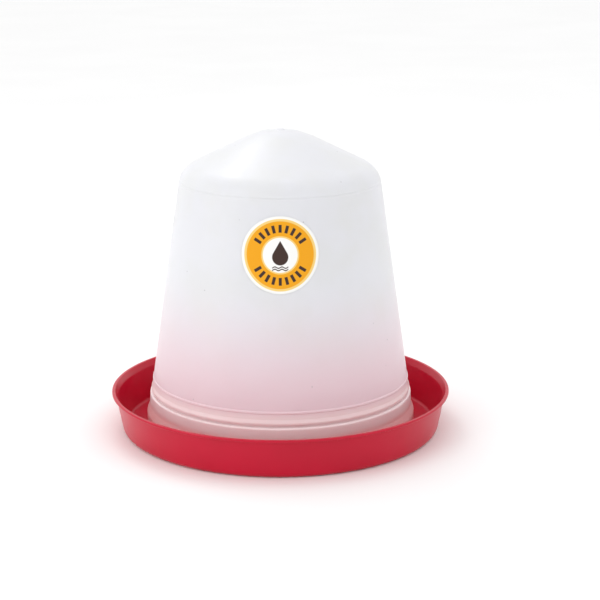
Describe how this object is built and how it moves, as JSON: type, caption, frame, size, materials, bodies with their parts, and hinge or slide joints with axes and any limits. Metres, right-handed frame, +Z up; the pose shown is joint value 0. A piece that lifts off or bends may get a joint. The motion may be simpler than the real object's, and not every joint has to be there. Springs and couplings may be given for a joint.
{
  "type": "poultry waterer fount",
  "caption": "Siphon drinker for poultry: a tapered milky tank with a conical roof and a round front label, standing on its foot in a shallow round red tray.",
  "frame": {"origin": "middle of the tray's underside, in the plane it stands on", "axes": "+Z up the common axis of tray and tank; the label faces -Y and the water outlet faces +Y"},
  "size_m": [0.34, 0.34, 0.303],
  "materials": {
    "red_plastic": "glossy moulded, fine scuffs",
    "milky_plastic": "satin, milky translucent",
    "label_film": "printed film"
  },
  "bodies": {
    "tray": {"drinking_tray": "red_plastic"},
    "fount": {"fount_tank": "milky_plastic", "round_label": "label_film"}
  },
  "joints": [
    {"name": "tank_lift", "type": "slide", "parent": "tray", "child": "fount", "axis": [0, 0, 1], "range_m": [0, 0.3]}
  ]
}
